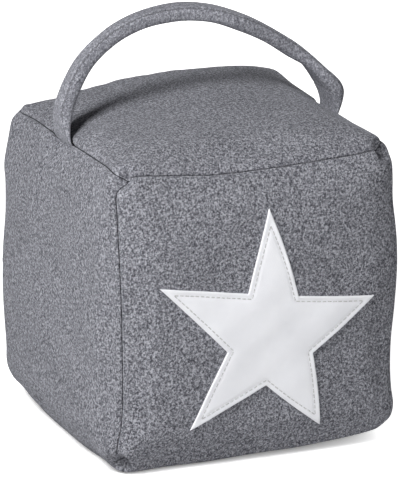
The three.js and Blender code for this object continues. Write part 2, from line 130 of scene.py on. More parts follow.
# Corners: how far the point where three seams meet is drawn in, how far around it in millimetres,
# and how far the felt beside it stands out
CORNERS = {
    (-1, -1, 1): ((3.7, 1.0, -1.3), 3.0, (-3.4, -2.8, 2.2)),
    (1, -1, 1): ((-5.4, 3.4, -2.8), 3.4, (0.1, -1.4, 2.4)),
    (-1, -1, -1): ((2.6, 0.9, 0.4), 2.6, (-4.4, -2.4, -1.8)),
    (1, -1, -1): ((0, 0, 0), 2.6, (0.8, -0.8, -0.4)),
    (-1, 1, 1): ((0.4, -0.4, -1.2), 2.6, (-1.4, 0.6, -1.6)),
    (1, 1, 1): ((-1.6, -1.6, -1.6), 2.6, (1, 1, 2.2)),
    (-1, 1, -1): ((1.6, -1.6, 1.2), 2.6, (-2.4, 1, -2)),
    (1, 1, -1): ((-1.6, -1.6, 1.2), 2.6, (1, 1, -1)),
}
EAR_REACH = 10.0

# Shallow dents and swellings: face, place across and up it in millimetres, radius, height
LUMPS = [
    ("top", -71, 47, 1.5, -1.6),
    ("top", -62, 8, 9, -2.2),
    ("top", 30, 40, 26, 0.8),
    ("top", -35, -40, 26, 0.6),
    ("front", -48, 52, 24, 0.9),
    ("front", 40, -52, 22, -0.8),
    ("front", -55, -40, 20, 0.6),
    ("left", 30, -50, 22, 0.9),
    ("left", -30, 20, 30, 0.5),
]


def unit(vector):
    vector = np.asarray(vector, float)
    return vector / np.linalg.norm(vector)


def face_axes(name):
    """A face's normal, the directions across and up it, and half the cube's size along each."""
    axes = [np.array(axis, float) for axis in FACES[name]]
    return axes, [abs(np.dot(HALF, axis)) for axis in axes]


def face_toward(direction):
    """The name of the face that looks in one of the six directions."""
    return next(name for name, axes in FACES.items() if np.dot(axes[0], direction) > 0.5)


def on_rim(s, t):
    return (np.abs(s) > 0.999) | (np.abs(t) > 0.999)


def quads(ids):
    """Four-sided faces between the neighbours in a grid of point numbers."""
    corners = (ids[:-1, :-1], ids[1:, :-1], ids[1:, 1:], ids[:-1, 1:])
    return np.stack(corners, -1).reshape(-1, 4)


def weld(grids, rim):
    """Joins the faces' grids where their rims meet: one list of points, and each grid's numbers."""
    found, points, index = {}, [], {}
    for name, grid in grids.items():
        ids = np.zeros(rim.shape, int)
        for i, j in np.ndindex(rim.shape):
            key = tuple(np.round(grid[i, j], 2)) if rim[i, j] else (name, i, j)
            if key not in found:
                found[key] = len(points)
                points.append(grid[i, j])
            ids[i, j] = found[key]
        index[name] = ids
    return points, index


def smooth_curve(points, places):
    """A smooth curve through points (place, value, value), read at places."""
    table = np.array(points, float)
    x = table[:, 0]
    slopes = np.gradient(table[:, 1:], x, axis=0)
    i = np.clip(np.searchsorted(x, places) - 1, 0, len(x) - 2)
    gap = (x[i + 1] - x[i])[..., None]
    u = ((places - x[i])[..., None]) / gap
    start, end = table[i, 1:], table[i + 1, 1:]
    return (
        (2 * u**3 - 3 * u**2 + 1) * start
        + (u**3 - 2 * u**2 + u) * gap * slopes[i]
        + (3 * u**2 - 2 * u**3) * end
        + (u**3 - u**2) * gap * slopes[i + 1]
    )


def seam_offset(face, neighbour, along, place):
    """Offset of the seam between two faces; place runs from -1 to 1 in the direction of along."""
    axis = int(np.argmax(np.abs(along)))
    sign = float(np.sum(along))
    millimetres = np.clip(place * sign, -1, 1) * HALF[axis]
    if (face, neighbour) in SEAMS:
        first, second = face, neighbour
    else:
        first, second = neighbour, face
    out = smooth_curve(SEAMS[(first, second)], millimetres)
    return out[..., :1] * np.array(FACES[first][0]) + out[..., 1:] * np.array(FACES[second][0])


def roll_share(place, half):
    """How much of the roll's height is reached at a place between two seams: a quarter circle."""
    share = np.clip((1 - np.abs(place)) * half / ROLL_WIDTH, 0, 1)
    return np.sqrt(np.clip(1 - (1 - share) ** 2, 0, 1))


def surface(name, s, t):
    """Points of a face's outer surface, s across and t up it from -1 to 1 between the seams."""
    s, t = np.broadcast_arrays(np.asarray(s, float), np.asarray(t, float))
    (normal, across, up), (half_n, half_s, half_t) = face_axes(name)
    column, row = s[..., None], t[..., None]
    point = CENTRE + normal * half_n + column * half_s * across + row * half_t * up
    for side in (-1, 1):
        beside = face_toward(side * across)
        over = face_toward(side * up)
        point = point + seam_offset(name, beside, up, t) * (1 + side * column) / 2
        point = point + seam_offset(name, over, across, s) * (1 + side * row) / 2
    for signs, (pull, reach, ear) in CORNERS.items():
        corner = np.array(signs, float)
        if np.dot(corner, normal) < 0:
            continue
        ds = (1 - s * np.dot(corner, across)) * half_s
        dt = (1 - t * np.dot(corner, up)) * half_t
        far = ds**2 + dt**2
        near = np.exp(-far / (2 * reach**2))[..., None]
        wide = np.exp(-far / (2 * EAR_REACH**2))[..., None]
        point = point + near * np.array(pull) + (wide - near) * np.array(ear)
    roll = ROLL_RISE * roll_share(s, half_s) * roll_share(t, half_t)
    if name == "base":
        ahead = np.exp(-(((1 + up[1] * t) * half_t / FRONT_ROLL_REACH) ** 2))
        front = (FRONT_ROLL - FRONT_ROLL_SLANT * s) * ahead
        roll = roll * (BASE_ROLL - BASE_ROLL_SLANT * s + front)
    fullness = BASE_FULLNESS if name == "base" else FULLNESS
    dome = np.clip((1 - s**2) * (1 - t**2), 0, 1) ** fullness
    rise = roll + CROWNS[name] * dome
    for face, x, y, radius, height in LUMPS:
        if face == name:
            far = (s * half_s - x) ** 2 + (t * half_t - y) ** 2
            edge = roll_share(s, half_s) * roll_share(t, half_t)
            rise = rise + height * np.exp(-far / (2 * radius**2)) * edge
    return point + normal * rise[..., None]


# Waves of hand-filled felt: height, waves across and up a face, share of its phase, start
WAVES = [
    (0.28, 5.1, 3.3, 1, 0),
    (0.2, -7.7, 6.4, 2, 1),
    (0.13, 12.9, 9.2, 3, 2),
    (0.09, -17, 21, 1, 4),
]
WAVE_PHASE = 1.7
WAVE_FADE = 5


def ripples(name, s, t):
    """Small uneven waves, none at the seams."""
    phase = WAVE_PHASE * list(FACES).index(name)
    edge = np.clip((1 - s**2) * (1 - t**2) * WAVE_FADE, 0, 1)
    waves = 0
    for height, across, up, share, start in WAVES:
        waves = waves + height * np.sin(across * s + up * t + share * phase + start)
    return waves * edge


# Cloth simulation of the whole cover, held at its seams and base and filled from inside. It runs
# ten times larger than life, where its settings are steadiest, and moves a point by SIM_CAP at most.
SIM_CELLS = 44
SIM_FRAMES = 20
SIM_SCALE = 10
SIM_CAP = 1.6


def simulated_cover():
    """How far each point of a coarse cover moves, as one grid for each face, in millimetres."""
    places = np.linspace(-1, 1, SIM_CELLS + 1)
    s, t = np.meshgrid(places, places, indexing="ij")
    edge = on_rim(s, t)
    points, index = weld({name: surface(name, s, t) for name in FACES}, edge)
    faces = [quad for ids in index.values() for quad in quads(ids).tolist()]
    mesh = bpy.data.meshes.new("cover_sim")
    mesh.from_pydata((np.array(points) * MM * SIM_SCALE).tolist(), [], faces)
    cover = bpy.data.objects.new("cover_sim", mesh)
    bpy.context.scene.collection.objects.link(cover)
    still = {int(i) for ids in index.values() for i in ids[edge]}
    still |= {int(i) for i in index["base"].ravel()}
    held = cover.vertex_groups.new(name="held")
    held.add(sorted(still), 1.0, "REPLACE")
    cloth = cover.modifiers.new("cloth", "CLOTH")
    settings = cloth.settings
    settings.quality = 6
    settings.mass = 0.6
    settings.tension_stiffness = 60
    settings.compression_stiffness = 60
    settings.shear_stiffness = 20
    settings.bending_stiffness = 6
    settings.tension_damping = 15
    settings.compression_damping = 15
    settings.shear_damping = 10
    settings.air_damping = 4
    settings.vertex_group_mass = "held"
    settings.shrink_min = -0.005
    settings.use_pressure = True
    settings.uniform_pressure_force = 1.2
    settings.effector_weights.gravity = 0
    cloth.collision_settings.use_collision = False
    cloth.collision_settings.use_self_collision = False
    scene = bpy.context.scene
    for number in range(1, SIM_FRAMES + 1):
        scene.frame_set(number)
    evaluated = cover.evaluated_get(bpy.context.evaluated_depsgraph_get())
    moved = np.array([v.co[:] for v in evaluated.data.vertices]) / (MM * SIM_SCALE)
    scene.frame_set(1)
    bpy.data.objects.remove(cover)
    shift = moved - np.array(points)
    length = np.linalg.norm(shift, axis=1, keepdims=True)
    shift = shift * np.minimum(1, SIM_CAP / np.maximum(length, 1e-6))
    print("cloth moved", round(float(length.mean()), 2), "mm, at most", round(float(length.max()), 2))
    return {name: shift[index[name]] for name in FACES}


def cubic_weights(places, cells):
    """Catmull-Rom weights that read an even grid smoothly at other places."""
    weights = np.zeros((len(places), cells + 1))
    for row, place in enumerate(places):
        x = (place + 1) / 2 * cells
        i = min(max(int(math.floor(x)), 0), cells - 1)
        u = x - i
        cubic = (
            -0.5 * u**3 + u**2 - 0.5 * u,
            1.5 * u**3 - 2.5 * u**2 + 1,
            -1.5 * u**3 + 2 * u**2 + 0.5 * u,
            0.5 * u**3 - 0.5 * u**2,
        )
        for k, weight in enumerate(cubic):
            weights[row, min(max(i - 1 + k, 0), cells)] += weight
    return weights


cover_shift = simulated_cover()


# A panel's mesh: the distances of its lines from a seam, then even cells as far as its middle
SEAM_LINES = [0, 0.1, 0.3, 0.6, 1, 1.5, 2.1, 2.8, 3.6, 4.5, 5.6, 6.9]
EVEN_START = 8.3
EVEN_CELLS = 46


def mesh_lines(half):
    """Places from -1 to 1: close together beside the seams, then about 1.5 mm apart."""
    inner = np.linspace(half - EVEN_START, 0, EVEN_CELLS + 1)[:-1]
    positive = [(half - d) / half for d in SEAM_LINES] + [d / half for d in inner]
    return np.array([-p for p in positive] + [0] + positive[::-1])


# Window between two panels where the strap passes: half its width, the fade at its ends, how far it
# reaches from the seam, and how far the top panel sinks there for each millimetre that it opens
WINDOW_HALF = 15.2
WINDOW_FADE = 3.0
WINDOW_REACH = 6.0
WINDOW_SINK = 0.2


def strap_window(name, s, t):
    """How much further each panel stops short of the seams where the strap passes between them."""
    if name == "top":
        y, distance = t * HALF[1], (1 - np.abs(s)) * HALF[0]
    elif name in ("left", "right"):
        side = -1 if name == "left" else 1
        y, distance = s * side * HALF[1], (1 - t) * HALF[2]
    else:
        return np.zeros(np.shape(s)), np.zeros(np.shape(s))
    across = np.clip((WINDOW_HALF - np.abs(y - STRAP_Y)) / WINDOW_FADE, 0, 1)
    fade = np.exp(-((distance / WINDOW_REACH) ** 2))
    window = STRAP_GAP * across**2 * (3 - 2 * across) * fade
    nothing = np.zeros(np.shape(s))
    return (window, nothing) if name == "top" else (nothing, window)


def outer_points(name, s, t):
    """The surface with its ripples, its simulated shift and its distance from the seams."""
    (normal, across, up), _ = face_axes(name)
    point = surface(name, s, t)
    places_s, places_t = s[:, 0], t[0, :]
    read_s = cubic_weights(places_s, SIM_CELLS)
    read_t = cubic_weights(places_t, SIM_CELLS)
    shift = np.einsum("ia,abk,jb->ijk", read_s, cover_shift[name], read_t)
    point = point + shift + normal * ripples(name, s, t)[..., None]
    gap_s, gap_t = strap_window(name, s, t)
    point = point - across * (s * (SEAM_INSET + gap_s))[..., None]
    point = point - up * (t * (SEAM_INSET + gap_t))[..., None]
    if name == "top":
        point[..., 2] -= WINDOW_SINK * gap_s
    point[..., 2] = np.maximum(point[..., 2], 0)
    return point


def grid_faces(rows, columns, first, flipped=False):
    faces = quads(first + np.arange(rows * columns).reshape(rows, columns))
    return (faces[:, ::-1] if flipped else faces).tolist()


def outline_ids(rows, columns, first):
    """The numbers of a grid's outer points, all the way round."""
    ids = first + np.arange(rows * columns).reshape(rows, columns)
    loop = (ids[:-1, 0], ids[-1, :-1], ids[:0:-1, -1], ids[0, :0:-1])
    return np.concatenate(loop).tolist()


def band_faces(outer, inner):
    """Faces between two closed rings of point numbers."""
    count = len(outer)
    return [
        (outer[(i + 1) % count], outer[i], inner[i], inner[(i + 1) % count]) for i in range(count)
    ]


def add_piece(name, points, faces, material, replaced=None, angle=40):
    """Makes a smooth-shaded piece from points in millimetres under the root body, and hides the CAD
    part that it replaces.
    """
    mesh = bpy.data.meshes.new(name)
    mesh.from_pydata((np.asarray(points) * MM).tolist(), [], faces)
    mesh.validate()
    mesh.shade_smooth()
    mesh.set_sharp_from_angle(angle=math.radians(angle))
    mesh.materials.append(material)
    piece = bpy.data.objects.new(name, mesh)
    bpy.context.scene.collection.objects.link(piece)
    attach(piece, "root")
    if replaced:
        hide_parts(replaced)


# Materials


def node_material(name):
    material = bpy.data.materials.new(name)
    material.use_nodes = True
    tree = material.node_tree
    tree.nodes.clear()
    output = tree.nodes.new("ShaderNodeOutputMaterial")
    shader = tree.nodes.new("ShaderNodeBsdfPrincipled")
    tree.links.new(shader.outputs["BSDF"], output.inputs["Surface"])
    return material, tree, shader


def object_place(tree):
    """The place on the object in metres, which all patterns here are laid out by."""
    return tree.nodes.new("ShaderNodeTexCoord").outputs["Object"]


def noise(tree, place, scale, detail, roughness=0.5, stretch=None, turn=(0, 0, 0)):
    """Noise of about 1/scale metres a lump, drawn out along an axis where stretch says so."""
    if stretch:
        mapping = tree.nodes.new("ShaderNodeMapping")
        mapping.vector_type = "TEXTURE"
        mapping.inputs["Scale"].default_value = stretch
        mapping.inputs["Rotation"].default_value = turn
        tree.links.new(place, mapping.inputs["Vector"])
        place = mapping.outputs["Vector"]
    node = tree.nodes.new("ShaderNodeTexNoise")
    node.inputs["Scale"].default_value = scale
    node.inputs["Detail"].default_value = detail
    node.inputs["Roughness"].default_value = roughness
    tree.links.new(place, node.inputs["Vector"])
    return node.outputs["Fac"]


def maths(tree, operation, first, second=None, third=None):
    """One calculation with sockets or numbers."""
    node = tree.nodes.new("ShaderNodeMath")
    node.operation = operation
    for socket, value in zip(node.inputs, (first, second, third)):
        if isinstance(value, (int, float)):
            socket.default_value = value
        elif value is not None:
            tree.links.new(value, socket)
    return node.outputs["Value"]


def stretch_range(tree, value, low, high, to_low=0.0, to_high=1.0):
    """Spreads the values from low to high over another range, and clips the rest."""
    node = tree.nodes.new("ShaderNodeMapRange")
    node.inputs["From Min"].default_value = low
    node.inputs["From Max"].default_value = high
    node.inputs["To Min"].default_value = to_low
    node.inputs["To Max"].default_value = to_high
    tree.links.new(value, node.inputs["Value"])
    return node.outputs["Result"]


def colour_ramp(tree, value, stops):
    node = tree.nodes.new("ShaderNodeValToRGB")
    ramp = node.color_ramp
    while len(ramp.elements) < len(stops):
        ramp.elements.new(0.5)
    for element, (place, colour) in zip(ramp.elements, stops):
        element.position = place
        element.color = (*colour, 1)
    tree.links.new(value, node.inputs["Fac"])
    return node.outputs["Color"]


def bump(tree, shader, height, strength, distance):
    node = tree.nodes.new("ShaderNodeBump")
    node.inputs["Strength"].default_value = strength
    node.inputs["Distance"].default_value = distance
    tree.links.new(height, node.inputs["Height"])
    tree.links.new(node.outputs["Normal"], shader.inputs["Normal"])


# Fibres in three directions: how far each layer is drawn out along each axis, and how it is turned
FIBRE_LAYERS = [
    ((1, 1, 2.6), (0.3, 0.2, 0)),
    ((2.6, 1, 1), (0, 0.5, 0.6)),
    ((1, 2.6, 1), (0.6, 0, -0.5)),
]
# Their colours from the darkest to the lightest, with places in the ramp
FIBRE_COLOURS = [
    (0.05, (0.045, 0.045, 0.055)),
    (0.5, (0.172, 0.174, 0.196)),
    (0.95, (0.4, 0.405, 0.44)),
]


def felt_material(name, painted_lightness, reach):
    """Mottled wool felt of dark and light fibres; a smaller reach sets them further apart in tone.
    Its colour is multiplied by the second argument; above 1 that is painted light on a lighter copy
    of the same felt.
    """
    material, tree, shader = node_material(name)
    place = object_place(tree)
    clumps = noise(tree, place, 760, 4, 0.75)
    fibres = [noise(tree, place, 1500, 1.5, 0.55, drawn, turn) for drawn, turn in FIBRE_LAYERS]
    light = maths(tree, "MAXIMUM", fibres[0], fibres[1])
    light = maths(tree, "MAXIMUM", light, fibres[2])
    dark = maths(tree, "MINIMUM", fibres[0], fibres[1])
    dark = maths(tree, "MINIMUM", dark, fibres[2])
    mixed = maths(tree, "ADD", light, dark)
    mixed = maths(tree, "MULTIPLY", mixed, 0.5)
    mixed = maths(tree, "MULTIPLY_ADD", mixed, 0.5, maths(tree, "MULTIPLY", clumps, 0.5))
    shades = stretch_range(tree, mixed, 0.5 - reach, 0.5 + reach)
    # The second argument scales every fibre's colour; above 1 this is painted light
    stops = [(stop, [c * painted_lightness for c in shade]) for stop, shade in FIBRE_COLOURS]
    colour = colour_ramp(tree, shades, stops)
    patches = stretch_range(tree, noise(tree, place, 38, 3, 0.6), 0.3, 0.7, 0.94, 1.06)
    vary = tree.nodes.new("ShaderNodeVectorMath")
    vary.operation = "SCALE"
    tree.links.new(colour, vary.inputs[0])
    tree.links.new(patches, vary.inputs["Scale"])
    tree.links.new(vary.outputs["Vector"], shader.inputs["Base Color"])
    shader.inputs["Roughness"].default_value = 1.0
    shader.inputs["Specular IOR Level"].default_value = 0.12
    shader.inputs["Sheen Weight"].default_value = 0.12
    shader.inputs["Sheen Roughness"].default_value = 0.6
    shader.inputs["Sheen Tint"].default_value = (0.8, 0.82, 0.9, 1)
    bump(tree, shader, mixed, 0.4, 0.0006)
    return material


def leatherette_material(name):
    """Smooth white leatherette: a fine pebbled grain and a soft satin shine."""
    material, tree, shader = node_material(name)
    place = object_place(tree)
    cells = tree.nodes.new("ShaderNodeTexVoronoi")
    cells.inputs["Scale"].default_value = 1500
    tree.links.new(place, cells.inputs["Vector"])
    tone = stretch_range(tree, noise(tree, place, 60, 3, 0.55), 0.3, 0.7)
    colour = colour_ramp(tree, tone, [(0, (0.81, 0.815, 0.85)), (1, (0.86, 0.865, 0.895))])
    tree.links.new(colour, shader.inputs["Base Color"])
    rough = stretch_range(tree, cells.outputs["Distance"], 0, 0.7, 0.42, 0.55)
    tree.links.new(rough, shader.inputs["Roughness"])
    shader.inputs["Specular IOR Level"].default_value = 0.35
    grain = maths(tree, "ADD", cells.outputs["Distance"], noise(tree, place, 420, 3, 0.6))
    bump(tree, shader, grain, 0.12, 0.0002)
    return material


def thread_material(name, colour, painted_ply_shade):
    """Sewing thread: stripes along the slant of its plies, painted darker between the plies and
    lighter on them, which is painted shade and painted highlight.
    """
    material, tree, shader = node_material(name)
    place = object_place(tree)
    plies = noise(tree, place, 2600, 1, 0.5, (1, 1, 2), (0.8, 0.4, 0.2))
    # Painted highlight on the plies, and painted shade between them at the third argument's share of
    # the colour
    light = [c * 1.2 for c in colour]
    dark = [c * painted_ply_shade for c in colour]
    tone = colour_ramp(tree, plies, [(0.35, dark), (0.65, light)])
    tree.links.new(tone, shader.inputs["Base Color"])
    shader.inputs["Roughness"].default_value = 0.7
    bump(tree, shader, plies, 0.4, 0.0002)
    return material


def cotton_material(name):
    """Plain natural cotton, a simple weave: hidden inside the cover."""
    material, tree, shader = node_material(name)
    place = object_place(tree)
    across = tree.nodes.new("ShaderNodeTexWave")
    across.inputs["Scale"].default_value = 420
    across.inputs["Distortion"].default_value = 1.5
    tree.links.new(place, across.inputs["Vector"])
    weave = maths(tree, "MULTIPLY_ADD", across.outputs["Fac"], 0.4, noise(tree, place, 500, 3))
    colour = colour_ramp(tree, weave, [(0.3, (0.36, 0.31, 0.22)), (0.9, (0.56, 0.5, 0.4))])
    tree.links.new(colour, shader.inputs["Base Color"])
    shader.inputs["Roughness"].default_value = 0.95
    bump(tree, shader, weave, 0.3, 0.0004)
    return material


felt = felt_material("grey_felt", 1.0, 0.085)
# The handle is the panels' grey felt painted 1.27 times lighter, which is painted light on the
# handle; its fibres are also closer in tone
strap_felt_painted_lighter = felt_material("handle_felt", 1.27, 0.14)
leatherette = leatherette_material("white_leatherette")
star_thread = thread_material("star_thread", (0.55, 0.545, 0.55), 0.7)
strap_thread = thread_material("strap_thread", (0.15, 0.152, 0.168), 0.7)
cotton = cotton_material("filling_cotton")

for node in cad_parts.values():
    for place in node.material_slots:
        place.material = cotton if node.name.startswith("weighted") else felt

# Panels: depths of the turned edge's mesh lines on its way inside
EDGE_DEPTHS = (1.2, 4.0, SEAM_DEPTH)


def make_panel(name):
    """A felt panel: its outer face rolls into the seams, its edges turn inside, and it has a back."""
    (normal, across, up), (_, half_s, half_t) = face_axes(name)
    s, t = np.meshgrid(mesh_lines(half_s), mesh_lines(half_t), indexing="ij")
    outer = outer_points(name, s, t)
    bend = FELT * (1 + math.sqrt(2)) + SEAM_INSET
    reach_s, reach_t = s * (1 - bend / half_s), t * (1 - bend / half_t)
    inner = outer_points(name, reach_s, reach_t) - normal * FELT
    if name == "base":
        inner[..., 2] = np.maximum(inner[..., 2], FELT)
    rows, columns = s.shape
    count = rows * columns
    rim = outline_ids(rows, columns, 0)
    flat_outer = outer.reshape(-1, 3)
    toward = (s[..., None] * across + t[..., None] * up).reshape(-1, 3)[rim]

    def fold(depth, lift):
        return flat_outer[rim] - normal * (depth - lift) - toward * (depth + lift)

    loops = [fold(depth, 0) for depth in EDGE_DEPTHS]
    loops.append(fold(SEAM_DEPTH, FELT / math.sqrt(2)))
    points = [flat_outer, *loops, inner.reshape(-1, 3)]
    faces = grid_faces(rows, columns, 0)
    starts = [count + i * len(rim) for i in range(len(loops) + 1)]
    rings = [rim]
    rings += [list(range(start, start + len(rim))) for start in starts[:-1]]
    rings.append(outline_ids(rows, columns, starts[-1]))
    for first, second in zip(rings, rings[1:]):
        faces += band_faces(first, second)
    faces += grid_faces(rows, columns, starts[-1], flipped=True)
    flat = np.concatenate(points)
    add_piece(f"{name}_felt", flat, faces, felt, f"{name}_panel")
    return outer, (rows, columns)


outer_faces = {name: make_panel(name) for name in FACES}

# Filling: its gap to the felt, the width and depth of its grooves behind the seams, and its mesh
BAG_GAP = 0.5
GROOVE_WIDTH = 14.5
GROOVE_DEPTH = SEAM_DEPTH + FELT / 2 + 0.3
BAG_CELLS = 22


def make_filling():
    """The filling behind the felt, with a groove behind each seam for the turned edges."""
    grids = {}
    for name in FACES:
        (normal, across, up), (_, *halves) = face_axes(name)
        lines = []
        for half in halves:
            reach = 1 - GROOVE_WIDTH / half
            lines.append(np.concatenate([[-1], np.linspace(-reach, reach, BAG_CELLS + 1), [1]]))
        s, t = np.meshgrid(*lines, indexing="ij")
        grid = outer_points(name, s, t) - normal * (FELT + BAG_GAP)
        rim = on_rim(s, t)
        toward = s[..., None] * across + t[..., None] * up
        behind = surface(name, s, t) - normal * GROOVE_DEPTH - toward * GROOVE_DEPTH
        grid = np.where(rim[..., None], behind, grid)
        if name == "base":
            grid[..., 2] = np.maximum(grid[..., 2], FELT + BAG_GAP)
        grids[name] = grid
    points, index = weld(grids, rim)
    faces = [quad for ids in index.values() for quad in quads(ids).tolist()]
    add_piece("filling_bag", points, faces, cotton, "weighted_filling")


make_filling()

# Handle: middle line of the strap seen from the front, with its width and thickness there
STRAP_LINE = [
    (-76.1, 179.0, 11.5, 8.3), (-74.3, 184.9, 11.0, 8.4), (-71.4, 191.9, 11.0, 8.4),
    (-66.1, 201.1, 10.0, 8.4), (-60.9, 207.2, 8.8, 8.3), (-53.7, 213.3, 8.4, 8.2),
    (-45.9, 218.3, 9.0, 8.4), (-36.5, 222.1, 9.8, 8.5), (-25.5, 224.6, 10.4, 8.5),
    (-10.8, 225.8, 12.0, 8.6), (-0.8, 225.0, 14.0, 8.8), (9.8, 222.6, 15.6, 9.2),
    (21.1, 218.3, 16.4, 9.5), (33.3, 212.6, 14.8, 8.9), (45.1, 205.4, 13.0, 8.5),
    (54.7, 198.7, 13.0, 8.4), (63.2, 192.3, 17.5, 6.8), (68.8, 186.5, 23.0, 7.2),
    (73.4, 181.2, 27.5, 8.4), (76.4, 176.3, 28.5, 8.8),
]
# Its flat ends between the panels: width, thickness, and how far they reach inside
TAB_WIDTH = 24.0
TAB_THICKNESS = 1.6
TAB_DEPTH = 6.0
# Where the strap comes out it swells by SWELL in thickness, over this length
SWELL = 7.0
SWELL_LENGTH = 12.0
# Small unevenness of the strap, which sets in between two distances from where it comes out
UNEVEN_START = 4.0
UNEVEN_END = 20.0
SWAY = 0.35
SWAY_LENGTH = 17.0
WOBBLE = 0.14
WOBBLE_LENGTH = 7.0
# Rings of its mesh, and steps of its curve between two places of the line
STRAP_RINGS = 260
CURVE_STEPS = 40


def smooth_step(value, start, end):
    """From 0 at the start to 1 at the end, level at both."""
    u = np.clip((value - start) / (end - start), 0, 1)
    return u * u * (3 - 2 * u)


def strap_line(count):
    """Points, directions, widths and thicknesses at even distances along the strap's middle line."""
    left = surface("top", -1.0, STRAP_Y / HALF[1])
    right = surface("top", 1.0, STRAP_Y / HALF[1])
    tab = (TAB_WIDTH, TAB_THICKNESS)
    stations = [
        (left[0] + TAB_DEPTH, left[2] - TAB_DEPTH, *tab),
        (left[0], left[2], *tab),
        *STRAP_LINE,
        (right[0], right[2], *tab),
        (right[0] - TAB_DEPTH, right[2] - TAB_DEPTH, *tab),
    ]
    points = np.array(stations)
    padded = np.vstack([2 * points[0] - points[1], points, 2 * points[-1] - points[-2]])
    dense = []
    # A centripetal Catmull-Rom curve through the stations
    for a, b, c, d in zip(padded, padded[1:], padded[2:], padded[3:]):
        steps = [np.linalg.norm((q - p)[:2]) ** 0.5 for p, q in ((a, b), (b, c), (c, d))]
        knots = np.cumsum([0] + steps)
        for x in np.linspace(knots[1], knots[2], CURVE_STEPS, endpoint=False):
            ab = a + (b - a) * (x - knots[0]) / (knots[1] - knots[0])
            bc = b + (c - b) * (x - knots[1]) / (knots[2] - knots[1])
            cd = c + (d - c) * (x - knots[2]) / (knots[3] - knots[2])
            abc = ab + (bc - ab) * (x - knots[0]) / (knots[2] - knots[0])
            bcd = bc + (cd - bc) * (x - knots[1]) / (knots[3] - knots[1])
            dense.append(abc + (bcd - abc) * (x - knots[1]) / (knots[2] - knots[1]))
    dense.append(points[-1])
    dense = np.array(dense)
    steps = np.linalg.norm(np.diff(dense[:, :2], axis=0), axis=1)
    distance = np.concatenate([[0], np.cumsum(steps)])
    even = np.linspace(0, distance[-1], count)
    x, z, wide, thick = (np.interp(even, distance, dense[:, k]) for k in range(4))
    line = np.stack([x, np.full(count, STRAP_Y), z], 1)
    return line, np.gradient(line, axis=0), even, wide, thick


# Section of the folded strap: share of half the width, share of half the thickness. The outer layer
# wraps round, and an edge of the inner layer shows behind a groove. One side mirrors the other.
GROOVE_POINT = (0.83, -0.76)
HALF_SECTION = [
    (0.0, 1.02), (0.25, 1.01), (0.5, 0.98), (0.72, 0.9), (0.87, 0.72), (0.96, 0.46), (1.0, 0.15),
    (1.0, -0.2), (0.97, -0.5), (0.92, -0.68), GROOVE_POINT, (0.87, -0.82), (0.87, -0.91),
    (0.8, -0.98), (0.66, -1.0), (0.35, -1.0), (0.0, -1.0),
]
mirrored = [(-side, depth) for side, depth in reversed(HALF_SECTION[1:-1])]
SECTION = mirrored[-2:] + HALF_SECTION + mirrored[:-2]


def make_handle():
    """The strap from one flat end to the other, with a small sway and unevenness in its free part."""
    line, heading, distance, widths, thicknesses = strap_line(STRAP_RINGS)
    total = distance[-1]
    tab = TAB_DEPTH * math.sqrt(2)
    points, normals = [], []
    for centre, direction, along, wide, thick in zip(line, heading, distance, widths, thicknesses):
        end = min(along, total - along)
        thick = min(thick, TAB_THICKNESS + SWELL * smooth_step(end, tab, tab + SWELL_LENGTH))
        outward = unit(np.cross((0, 1, 0), direction))
        soft = smooth_step(end, tab + UNEVEN_START, tab + UNEVEN_END)
        sway = soft * SWAY * math.sin(along / SWAY_LENGTH + 1)
        ring = []
        for side, depth in SECTION:
            wobble = soft * WOBBLE * math.sin(along / WOBBLE_LENGTH + 3 * side) * abs(depth)
            ring.append(
                centre
                + np.array([0, side * wide / 2 + sway, 0])
                + outward * (depth * thick / 2 + wobble)
            )
        points.append(ring)
        normals.append(outward)
    size = len(SECTION)
    rings = [list(range(i * size, (i + 1) * size)) for i in range(STRAP_RINGS)]
    faces = [face for pair in zip(rings, rings[1:]) for face in band_faces(*pair)]
    faces += [rings[0], rings[-1][::-1]]
    flat = np.array(points).reshape(-1, 3)
    add_piece(
        "strap_handle", flat, faces, strap_felt_painted_lighter, "carry_handle", 60
    )
    return np.array(points), np.array(normals), distance


strap_rings, strap_normals, strap_distance = make_handle()

# A stitch's mesh: its sides, and the rings at a rounded end. Each has a place and a size as shares
# of the stitch's radius, and all of them are set back by one more share.
STITCH_SIDES = 6
STITCH_END = [(-1.0, 0.15), (-0.7, 0.75), (0.0, 1.0)]
SET_BACK = 0.2


def capsule(start, end, radius, normal):
    """A short rounded stitch between two points."""
    start, end = np.array(start), np.array(end)
    along = unit(end - start)
    first = unit(np.cross(along, normal))
    second = np.cross(first, along)
    centres = []
    for point, inward, steps in ((start, along, STITCH_END), (end, -along, STITCH_END[::-1])):
        centres += [(point + inward * radius * (place + SET_BACK), size) for place, size in steps]
    points = []
    for centre, size in centres:
        for k in range(STITCH_SIDES):
            angle = 2 * math.pi * k / STITCH_SIDES
            turned = math.cos(angle) * first + math.sin(angle) * second
            points.append(centre + radius * size * turned)
    rings = [list(range(i, i + STITCH_SIDES)) for i in range(0, len(points), STITCH_SIDES)]
    faces = [face for lower, upper in zip(rings, rings[1:]) for face in band_faces(upper, lower)]
    faces += [rings[0][::-1], rings[-1]]
    return points, faces


def join_parts(parts):
    """One list of points and one of faces, from several."""
    points, faces = [], []
    for more_points, more_faces in parts:
        start = len(points)
        points += list(more_points)
        faces += [tuple(start + i for i in face) for face in more_faces]
    return points, faces


# Stitches along the strap: distance of the first from its end, length, pitch, radius, and how far
# they stand out of the groove
SEWN_START = 22.0
SEWN_LENGTH = 1.9
SEWN_PITCH = 3.3
SEWN_RADIUS = 0.42
SEWN_OUT = 0.25


